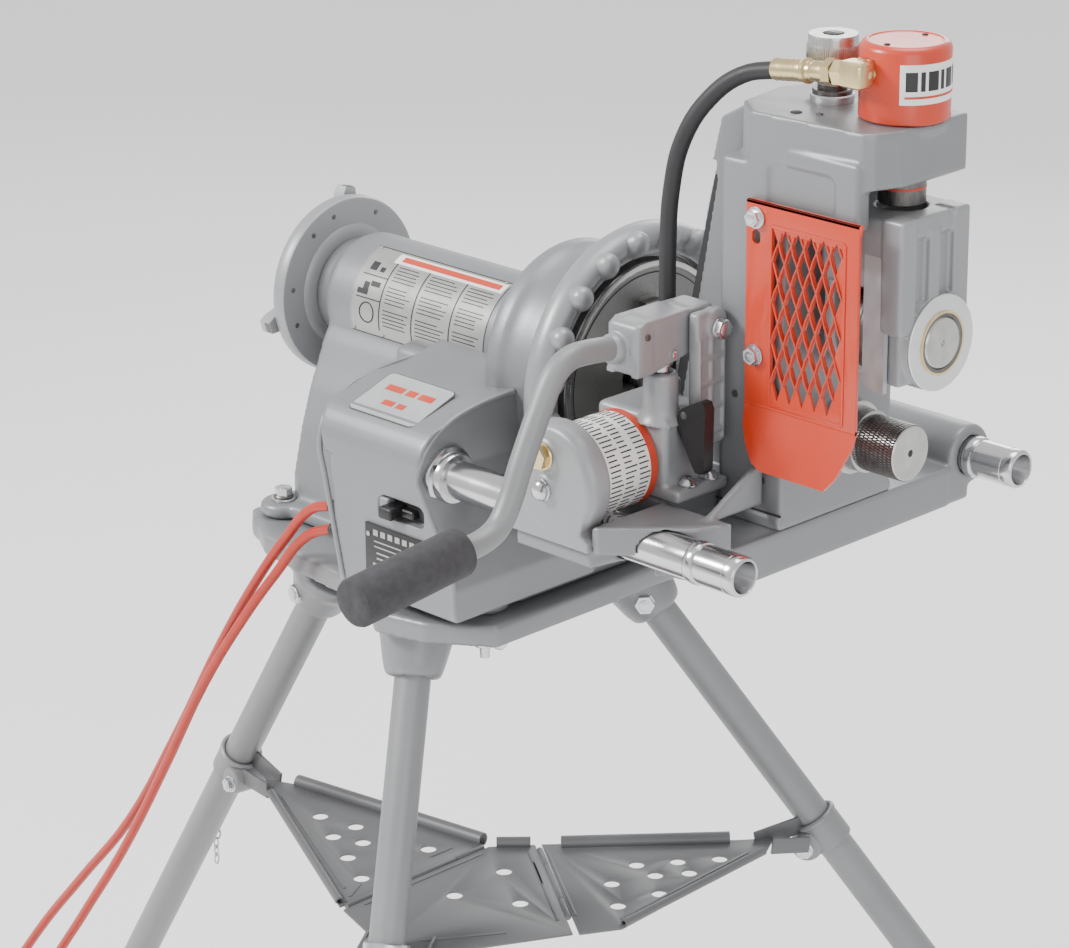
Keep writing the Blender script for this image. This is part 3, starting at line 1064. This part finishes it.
def cylinder_top():
    s = Shape(ORANGE, WHITE, INK, RED_INK, HOLLOW)
    r = 37.9
    s.lathe([(288.4, 0), (288.4, r - 1), (289.4, r), (346.4, r), (349.4, r - 1.4),
             (351.6, r - 4.2), (352, r - 6.5), (352, 31), (351.2, 30), (351.2, 0)],
            (RAM_X, 0, 0), Z, 96)
    for sgn in (-1, 1):
        s.cyl((-17, sgn * 24, 350.6), (-17, sgn * 24, 352.05), 2.6, 0.2, 24, 4)
    o = (RAM_X, 0, 0)
    s.lathe([(306, r), (306, r + 0.35), (339, r + 0.35), (339, r)], o, Z, 48, 1, True,
            math.radians(118), math.radians(303))
    s.lathe([(311, r + 0.3), (311, r + 0.55), (313, r + 0.55), (313, r + 0.3)], o,
            (0, 0, 1), 48, 3, True, math.radians(106), math.radians(309))
    a = 310
    for w in (15, 6, 15, 6, 15, 15):
        s.lathe([(317, r + 0.3), (317, r + 0.5), (333, r + 0.5), (333, r + 0.3)], o,
                (0, 0, 1), 6, 2, True, math.radians(w), math.radians(a))
        a += w + 4
    s.make("cylinder_shell", nodes=("ram_cylinder",), slot="orange_paint")

    k = Shape(STEEL, DARK, PLASTIC, ALU)
    o = (-90, -5, 0)
    k.lathe([(264, 0), (264, 8), (289, 8), (289, 0)], o, Z, 40, 1)
    k.lathe([(289, 0), (289, 16.4), (290, 17), (299, 17), (300, 16), (300, 12.6), (303, 12.6),
             (304, 13), (305, 12.4), (307, 12.4), (308, 13), (309, 12.4), (311, 12.4), (312, 13),
             (313, 12.4), (315, 12.4), (316, 13), (318, 12.4), (318, 0)], o, Z, 64, 1)
    k.lathe([(288.6, 12), (288.6, 18), (290, 18.6), (295, 18.6), (296, 17.6), (296, 12)], o,
            (0, 0, 1), 64, 3, True)
    k.lathe([(318, 0), (318, 20), (320, 21.6), (338, 21.6), (340, 21.0), (343, 21.2),
             (346, 20.4), (346, 9.2), (343.4, 8.6), (343.4, 0)], o, Z, 96, 0)
    for i in range(72):
        a = 2 * math.pi * i / 72
        x, y = -90 + 21.7 * math.cos(a), -5 + 21.7 * math.sin(a)
        k.cyl((x, y, 320.6), (x, y, 337.6), 0.62, 0.3, 6, 0)
    k.cyl((-90, -5, 342.8), (-90, -5, 346.6), 8, 1, 40, 2)
    k.box((-96, -6, 346.2), (-84, -4, 346.9), 0.2, 1, 1)
    k.make("depth_adjuster", "depth_screw", ("depth_knob",), slot="steel")

    h = Shape(BRASS, DARK)
    m = Matrix.Translation(Vector((-113, -49, 319.5))) @ Matrix.Rotation(math.radians(83), 4,
                                                                         "Y")
    t = Shape(BRASS, DARK)
    t.lathe([(0, 7), (0, 9.2), (1.5, 9.6), (6, 9.2), (8, 9.6), (12, 9.1), (14, 9.6), (18, 9.1),
             (20, 9.6), (24, 9.1), (26, 9.6), (31, 9.4), (32.4, 8.4), (33.2, 10.6), (36, 10.8),
             (37, 8.7), (41, 8.7), (42, 8.2), (44, 8.7), (55, 8.7), (56, 7)], (0, 0, 0),
            (0, 0, 1), 48, 0, True)
    t.hexagon((0, 0, 56), Z, 20.8, 9, 1, 0)
    t.lathe([(65, 5), (65, 9.2), (66.4, 9.2), (66.4, 5)], O, Z, 40, 1, True)
    t.hexagon((0, 0, 66.4), Z, 20.2, 11.4, 1, 0, 0.3)
    t.lathe([(77.6, 0), (77.6, 9.4), (80, 10), (84, 10), (86, 9), (86, 0)], (0, 0, 0),
            (0, 0, 1), 48, 0)
    h.join(t.turned(m))
    h.box((-38, -60, 319), (-15, -41, 341), 4, 3, 0)
    h.cyl((-26, -49, 330), (-26, -38, 330), 11.4, 1.2, 48)
    h.hexagon((-26, -41.5, 330), Y, 22, 4.4, 0.8, 0)
    h.make("hose_union", nodes=("hose_fitting",), slot="brass")


def window_cells(x0, x1, z0, z1):
    """Centres of the expanded metal's openings that lie within a window."""
    for i in range(-1, 6):
        for j in range(5):
            for half in (0, 0.5):
                x, z = -80 + (i + half) * 13.8, 62 + (j + half) * 35
                if x0 < x < x1 and z0 < z < z1:
                    yield x, z


def guard():
    s = Shape(ORANGE)
    s.box((-116, -80, 36), (6, -77, 215))
    cuts = Shape(ORANGE)
    w, h = 5.6, 15.4
    for x, z in window_cells(-88, -11, 44, 196):
        pts = [(x - w, z), (x, max(z - h, 43)), (x + w, z), (x, min(z + h, 196))]
        cuts.prism([(max(px, -87), pz) for px, pz in pts], -90, -70, "y")
    for z in (183, 186):
        cuts.cyl((-105, -90, z), (-105, -70, z), 4.6, 0, 32)
    carved("guard_panel", s, cuts, "machine", ("guard",), 0.35)
    t = Shape(ORANGE)
    for z in (42, 197):
        bar(t, (-88, -80.2, z), (-9, -80.2, z), Z, 3, 1.4, 0.5)
    for x in (-88.6, -8.6):
        bar(t, (x, -80.2, 42), (x, -80.2, 197), X, 3, 1.4, 0.5)
    for x, z in window_cells(-84, -14, 50, 190):
        for k in (-1, 1):
            strand = [(x + k * 6.9, -80.4, z), (x + k * 3.4, -81.0, z + 8)]
            if z + 17.4 < 196:
                strand[1:] = [(x + k * 3.4, -81.2, z + 8.9), (x, -80.4, z + 17.4)]
            t.sweep(strand, 0.8, 6)
    t.prism([(-116, -80), (6, -80), (8.5, -77.6), (6, -75), (-3, -74.4), (-116, -74.4)],
            212.6, 215, "z", 0.7)
    t.prism([(3.4, 213.5), (8.6, 216.2), (6, 205), (4, 205)], -79.8, -77, "y", 0.5)
    m = Matrix(((1, 0, 0, 0), (0, 1, 0.28, -80 - 0.28 * 38), (0, 0, 1, 0), (0, 0, 0, 1)))
    flap = Shape(ORANGE).prism([(-116, 38.6), (-113, 20), (-106, 5), (-96, -8), (-86, -13),
                                (-15, -13), (-6, -2), (5, 25), (6, 38.6)], 0, 3, "y", 0.8)
    t.join(flap.turned(m))
    t.sweep([(-116, -78.9, 38.4), (-60, -78.9, 38.4), (6, -78.9, 38.4)], 1.7, 10)
    t.make("guard_flange_and_flap", slot="orange_paint")
    z = Shape(ZINC)
    for h in (82, 201):
        z.cyl((-105, -80.2, h), (-105, -73, h), 4, 0.3, 24)
        z.bolt((-105, -80.1, h), (0, -1, 0), 12.6, 5.4, 0, washer=9.4)
        z.cyl((-105, -77.6, h), (-105, -74, h), 9, 0.5, 32)
    z.make("guard_screws", nodes=("guard_bolts",), slot="steel")


# ---------------------------------------------------------------- hand pump

def pump():
    s = Shape(CAST_LIGHT)
    s.box((-238, -139.4, -45), (-136, -76, -33.4), 4, 3)
    s.box((-232, -139.4, -38), (-152, -77, 27.5), 7, 4)
    s.lathe([(20, 0), (20, 21), (27, 17), (32, 15.4), (60, 15), (64, 13.6), (64, 8.4),
             (20, 8.4)], (-170, -125, 0), Z, 48)
    s.box((-152, -112, -4), (-140.5, -77, 116), 4, 3)
    s.cyl((-152, -88, 104), (-138.4, -88, 104), 13, 3)
    s.cyl((-200, -84, 22), (-200, -84, 41.6), 11, 1.6)
    s.cyl((-150, -108, 22), (-138.6, -108, 22), 11, 2)
    for z in (8, 30, 52, 74):
        s.box((-142, -111, z), (-138.6, -78, z + 3.4), 1.2)
    for y in (-111, -96, -81):
        s.box((-142, y, 0), (-138.6, y + 3.2, 92), 1.2)
    cuts = Shape(CAST_LIGHT)
    cuts.cyl((-170, -125, 0), (-170, -125, 70), 8.4, 0, 40)
    cast("pump_casting", s, cuts, CAST_LIGHT, nodes=("pump_block",), voxel=1.3, rounds=5)

    r = Shape(WHITE, RED_INK, INK)
    o = (-200, 0, -16)
    r.lathe([(-205, 0), (-205, 41), (-204, 42), (-141, 42), (-140, 41), (-140, 0)], o,
            (0, 1, 0), 96)
    for y0, y1 in ((-204, -201.6), (-149, -140.8)):
        r.lathe([(y0, 42), (y0, 42.35), (y1, 42.35), (y1, 42)], o, Y, 96, 1, True)
    q = random.Random(9)
    for row in range(34):
        t0 = math.radians(-125 + row * 6.2)
        for y in (-196.5, -179.5, -162.5):
            w = 9 + 6 * q.random()
            r.lathe([(y, 42), (y, 42.3), (y + w, 42.3), (y + w, 42)], o, Y, 2,
                    2, True, math.radians(1.6), t0)
    r.make("pump_reservoir", nodes=("reservoir",), slot="label")

    c = Shape(CAST_LIGHT)
    c.lathe([(-228, 0), (-228, 42), (-226.6, 46.4), (-222, 49.6), (-217, 50.4), (-207, 50.4),
             (-205.2, 49.6), (-205.2, 0)], (-200, 0, -16), Y, 96)
    c.prism([(-252, -70), (-157, -70), (-157, -62), (-166, -56), (-160, -36), (-164, -16),
             (-240, -16), (-244, -40), (-240, -56), (-252, -62)], -227.6, -206, "y", 4, 3)
    c.cyl((-206, -230.4, 6), (-206, -222, 6), 14, 2)
    c.cyl((-206, -230.4, -24), (-206, -222, -24), 12, 2)
    cast("pump_end_cap", c, None, CAST_LIGHT, nodes=("pump_cap",), voxel=1.3, rounds=5)
    b = Shape(BRASS, CHROME, ZINC, DARK)
    b.lathe([(0, 0), (0, 12.4), (1.4, 12.8), (2.6, 12), (2.6, 0)], (-206, -230.4, 6),
            (0, -1, 0), 40)
    b.hexagon((-206, -232.6, 6), (0, -1, 0), 19, 6.4, 1.0, 0, 0.2)
    b.lathe([(0, 0), (0, 10), (2, 10), (3, 9), (5.4, 8.6), (7.6, 6.6), (8.6, 3.2), (8.8, 0)],
            (-206, -230, -24), (0, -1, 0), 40, 1)
    for y in (-118, -92):
        b.cyl((-144, y, -45), (-144, y, -33), 4, 0.3, 24, 2)
        b.lathe([(-33.2, 0), (-33.2, 8.4), (-31.8, 8.6), (-30.4, 7.2), (-28, 5.6), (-26.4, 3),
                 (-26, 0)], (-144, y, 0), Z, 32, 2)
        b.hexagon((-144, y, -26.6), Z, 5, 0.8, 0.2, 3)
    b.make("pump_fittings", nodes=("pump_plugs",), slot="brass")
    p = Shape(CHROME)
    p.lathe([(30, 0), (30, 8), (69, 8), (70, 10), (77, 10), (78, 8), (83, 8), (84, 7), (84, 0)],
            (-170, -125, 0), Z, 48)
    p.make("pump_plunger_rod", "pump_plunger", ("plunger",), slot="chrome")

    y = Shape(CAST_LIGHT)
    y.box((-190, -170, 70), (-154, -146, 116), 7, 4)
    y.box((-190, -150, 100), (-154, -104, 117.5), 5, 3)
    for x0, x1 in ((-190, -182.4), (-161.6, -154.4)):
        y.prism([(-170, 70), (-168, 112), (-160, 117), (-110, 117), (-92, 116), (-78, 111),
                 (-74.5, 103), (-76, 92), (-84, 84), (-100, 80), (-108, 78), (-150, 70)], x0,
                x1, "x", 2.5, 3)
    y.box((-190, -104, 99), (-154.4, -76, 117), 5, 3)
    y.lathe([(0, 13.5), (12, 13), (16, 11), (16, 0), (0, 0)], (-178, -165, 92), (0, -1, 0.1),
            40)
    cast("pump_yoke", y, None, CAST_LIGHT, "pump_lever", ("pump_handle",), 1.2, 4)
    t = Shape(TUBE, ZINC, DARK, CHROME)
    path = smooth_path([(-178, -163, 92), (-178, -205, 97), (-178, -228, 96),
                        (-178, -246, 84), (-178, -262, 58), (-178, -282, 20),
                        (-178, -296, -10), (-178, -310, -29), (-178, -330, -37),
                        (-178, -354, -38)], 7)
    t.sweep(path, 10.5, 32, 0)
    t.cyl((-190.4, -88, 100), (-133, -88, 100), 5, 0.6, 24, 1)
    t.bolt((-138.2, -88, 100), X, 15, 6, 1, washer=9)
    t.cyl((-154.6, -126, 82), (-151.6, -126, 82), 3.6, 0.6, 24, 3)
    t.cyl((-154.6, -158, 104), (-152.6, -158, 104), 3.0, 0.6, 24, 2)
    t.make("pump_handle_tube", "pump_lever", slot="tube_paint")
    g = Shape(FOAM)
    d = Vector((0, -math.sin(math.radians(96)), math.cos(math.radians(96))))
    a = Vector((-178, -352, -38))
    rr = 20.8
    g.lathe([(0, 10.8), (0, rr - 3), (1, rr - 1), (3.5, rr), (60, rr + 0.2), (116, rr),
             (118.6, rr - 1.2), (120, rr - 3.6), (120, 6), (119, 0), (112, 0), (112, 10.8)], a,
            d, 64, 0)
    g.make("foam_grip", "pump_lever", ("handle_grip",), slot="foam")
    v = Shape(PLASTIC, ZINC, DARK)
    v.cyl((-146, -113.4, 28), (-146, -104, 28), 3.5, 0.4, 24, 1)
    v.prism([(-151, 28), (-149.6, 32), (-146, 36), (-128, 45.6), (-122, 45.4), (-119.4, 40),
             (-120.4, -14), (-123, -17.6), (-130, -17.6), (-133, -14), (-151, 16)], -124.8,
            -113.4, "y", 1.6, 3)
    v.cyl((-144, -125.1, 30), (-144, -124.2, 30), 3.4, 0.3, 24, 2)
    v.make("release_knob", "release", ("release_lever",), slot="plastic")


# ---------------------------------------------------------------- cord ends

def cord_ends():
    g = Shape(RUBBER)
    for z in (-130, -152):
        g.lathe([(0, 5.4), (0, 6), (6, 6.2), (7, 7.2), (12, 7.4), (13, 6.8), (18, 7.6),
                 (19, 8.6), (30, 9), (34, 9), (34, 5.4)], (-518, -190, z), X, 40, 0, True)
    g.make("cord_glands", nodes=("cord_gland",), slot="rubber")
    p = Shape(RUBBER, ZINC)
    c = (-952, -411, -873)
    p.lathe([(0, 5), (0, 5.8), (6, 6.4), (8, 7.4), (12, 7.6), (14, 6.8), (20, 8.2), (26, 8.4),
             (28, 7.6), (30, 10), (36, 16), (42, 17), (60, 17), (62, 16.4), (66, 15.6),
             (66, 0)], c, X, 48)
    for k in range(4):
        p.box((-912 + k * 5, -427.6, -880), (-910 + k * 5, -394.4, -866), 0.6)
    for y in (-6.4, 6.4):
        p.box((-888, -411 + y - 0.8, -876), (-868, -411 + y + 0.8, -869.6), 0.3, 1, 1)
    p.cyl((-888, -411, -882), (-869, -411, -882), 2.4, 1, 24, 1)
    p.make("lead_plug", nodes=("mains_plug",), slot="rubber")
    f = Shape(PLASTIC, ZINC, RUBBER)
    f.box((-722, -392, -888), (-602, -292, -857), 6, 3)
    f.box((-720, -390, -890), (-604, -294, -886), 2, 2, 2)
    for x in (-718, -622):
        f.box((x, -312, -862), (x + 16, -296, -847), 3)
    f.cyl((-719, -308, -852.6), (-605, -308, -852.6), 2.6, 0.4, 24, 1)
    f.lathe([(-34, 5.2), (-34, 6), (-24, 6.8), (-8, 8.2), (0, 9.6), (2, 9.6), (2, 5.2)],
            (-722, -341, -873), X, 40, 2, True)
    f.make("foot_switch_box", nodes=("foot_switch",), slot="plastic")
    d = Shape(ORANGE, RUBBER)
    d.prism([(-309, -853.5), (-309, -849), (-378, -843), (-382, -845), (-381, -849.4)], -700,
            -624, "x", 1.5)
    for k in range(7):
        d.box((-696, -376 + k * 9, -845.0 - k * 0.75), (-628, -372.6 + k * 9, -842.6 - k * 0.75),
              0.8, 2, 1)
    d.cyl((-700, -308, -852.6), (-624, -308, -852.6), 5, 1)
    d.make("foot_plate", "pedal", ("foot_pedal",), slot="orange_paint")


stand_top()
hold_down()
legs()
collars()
trays()
drive_housing()
hood()
plates()
chuck()
rear_end()
rails()
groover()
cylinder_top()
guard()
pump()
cord_ends()

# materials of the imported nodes, where they are shown
for mat, nodes in (
    (CAST, "stand_top drive_housing hood rear_jaw_1 rear_jaw_2 rear_jaw_3 groover_base "
           "groover_frame"),
    (TUBE, "leg_front leg_left leg_right collar_left collar_right"),
    (ZINC, "stand_pins hold_down guard_bolts"),
    (SHEET, "tray_center tray_left tray_right"),
    (SILVER, "face_plates"),
    (DARK, "motor_stator motor_rotor chuck_body chuck_jaw_1 chuck_jaw_2 chuck_jaw_3 ram_piston "
           "groove_roll drive_roll"),
    (STEEL, "idler_gear spindle spindle_gear roll_shaft depth_knob"),
    (CAST_LIGHT, "handwheel rear_wheel slide pump_block pump_cap pump_handle"),
    (CHROME, "rail_near rail_far plunger"),
    (PLASTIC, "switch_lever release_lever foot_switch"),
    (ORANGE, "ram_cylinder guard foot_pedal"),
    (BRASS, "hose_fitting pump_plugs"),
    (WHITE, "reservoir"),
    (FOAM, "handle_grip"),
    (RUBBER, "cord_gland mains_plug"),
):
    for node in nodes.split():
        if node in bpy.data.objects:
            paint(node, mat)
